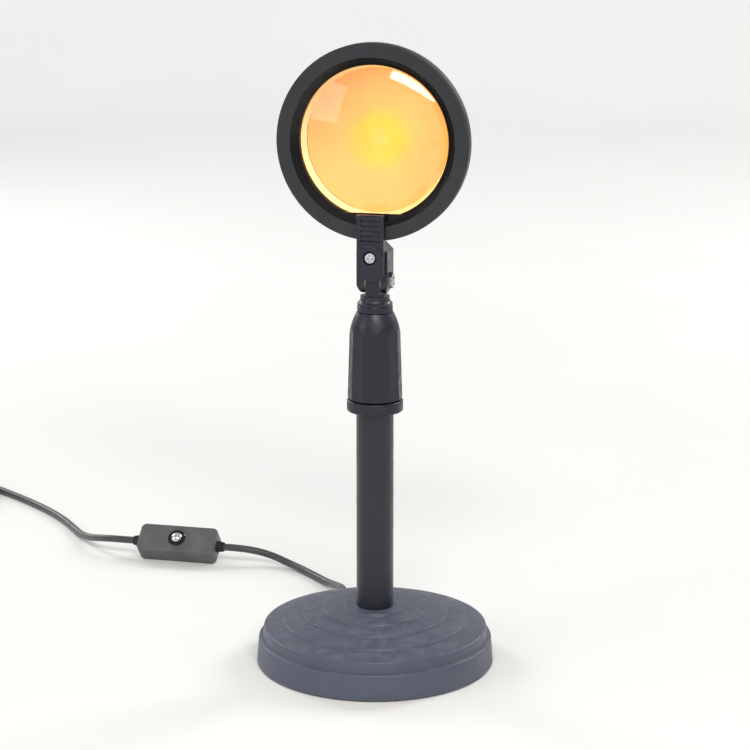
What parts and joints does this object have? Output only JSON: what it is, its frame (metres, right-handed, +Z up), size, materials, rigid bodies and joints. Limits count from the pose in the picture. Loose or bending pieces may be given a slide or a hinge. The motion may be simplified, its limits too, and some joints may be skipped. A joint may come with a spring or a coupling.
{
  "type": "sunset projection lamp",
  "caption": "Sunset projection lamp: a round lens head on a tilting, swinging knuckle over a telescopic post and stepped round base, with an in-line push switch and USB cord.",
  "frame": {"origin": "middle of the foot pad's underside, on the post's axis", "axes": "+Z up along the post, the head looks along -Y, the cord leaves behind towards -X"},
  "size_m": [0.4364, 0.2941, 0.3015],
  "materials": {
    "base_paint": "matte slate blue-grey paint",
    "rubber_black": "matte",
    "plate_steel": "matte black",
    "iron": "rough cast",
    "steel": "plated",
    "screw_bright": "bright plated",
    "screw_black": "blackened",
    "post_paint": "satin dark navy",
    "grip_plastic": "satin dark navy",
    "nylon": "natural",
    "knuckle_metal": "satin dark navy",
    "bezel_metal": "satin dark grey",
    "housing_metal": "satin black",
    "sink_metal": "bare",
    "lens_glass": "clear, lit from behind",
    "filter_glass": "amber coating",
    "reflector_white": "gloss white",
    "emitter": "clear dome over phosphor",
    "cord_jacket": "satin",
    "tie_plastic": "matte",
    "switch_plastic": "satin grey",
    "button_ring_plastic": "gloss black",
    "button_metal": "bright plated",
    "contact_block": "natural",
    "plug_plastic": "matte",
    "plug_metal": "plated",
    "plug_insulator": "plain"
  },
  "bodies": {
    "stand": {"foot_pad": "rubber_black", "bottom_plate": "plate_steel", "plate_screws": "steel", "base_weight": "iron", "base_shell": "base_paint", "post_bolt": "steel", "bolt_washer": "steel", "tube_plug": "nylon", "outer_tube": "post_paint", "lock_body": "grip_plastic", "lock_collet": "nylon", "strain_relief": "rubber_black", "base_lead": "cord_jacket", "cord_to_switch": "cord_jacket", "switch_lower": "switch_plastic", "switch_upper": "switch_plastic", "switch_screws": "steel", "switch_bushes": "rubber_black", "button_ring": "button_ring_plastic", "switch_core": "contact_block", "button_spring": "steel", "cord_after_switch": "cord_jacket", "cord_coil": "cord_jacket", "cord_tie": "tie_plastic", "plug_tail": "cord_jacket", "plug_grip": "plug_plastic", "plug_shell": "plug_metal", "plug_tongue": "plug_insulator"},
    "lock_sleeve": {"lock_sleeve": "grip_plastic"},
    "mast": {"inner_tube": "post_paint", "glide_bush": "nylon", "mast_cap": "grip_plastic", "mast_lead": "cord_jacket"},
    "neck": {"swivel_neck": "knuckle_metal", "pan_washer": "steel", "pan_nut": "steel"},
    "knuckle": {"knuckle_block": "knuckle_metal", "tilt_bolt": "steel", "tilt_nut": "steel", "friction_washers": "nylon", "swing_nut": "steel"},
    "head": {"lamp_arm": "knuckle_metal", "swing_screw": "screw_bright", "swing_washer": "steel", "arm_screws": "screw_black", "bezel_ring": "bezel_metal", "lens": "lens_glass", "lens_gasket": "rubber_black", "filter_disc": "filter_glass", "reflector": "reflector_white", "led_board": "sink_metal", "led_emitter": "emitter", "board_screws": "steel", "heat_sink": "sink_metal", "rear_housing": "housing_metal", "housing_screws": "screw_black", "head_grommet": "rubber_black", "head_lead": "cord_jacket"},
    "button": {"switch_button": "button_metal"}
  },
  "joints": [
    {"name": "sleeve_turn", "type": "hinge", "parent": "stand", "child": "lock_sleeve", "pos_m": [0, 0, 0.15], "axis": [0, 0, 1], "range_deg": [0, 90]},
    {"name": "mast_slide", "type": "slide", "parent": "stand", "child": "mast", "axis": [0, 0, 1], "range_m": [0, 0.1]},
    {"name": "neck_pan", "type": "hinge", "parent": "mast", "child": "neck", "pos_m": [0, 0, 0.178], "axis": [0, 0, 1], "continuous": true},
    {"name": "head_tilt", "type": "hinge", "parent": "neck", "child": "knuckle", "pos_m": [0, 0, 0.19], "axis": [1, 0, 0], "range_deg": [-90, 45]},
    {"name": "head_swing", "type": "hinge", "parent": "knuckle", "child": "head", "pos_m": [0, 0, 0.202], "axis": [0, 1, 0], "range_deg": [-45, 45]},
    {"name": "button_press", "type": "slide", "parent": "stand", "child": "button", "axis": [0, 0.6428, -0.766], "range_m": [0, 0.001], "stiffness_N_per_m": 600, "springref_m": -0.0005, "deforming": ["button_spring"]}
  ]
}
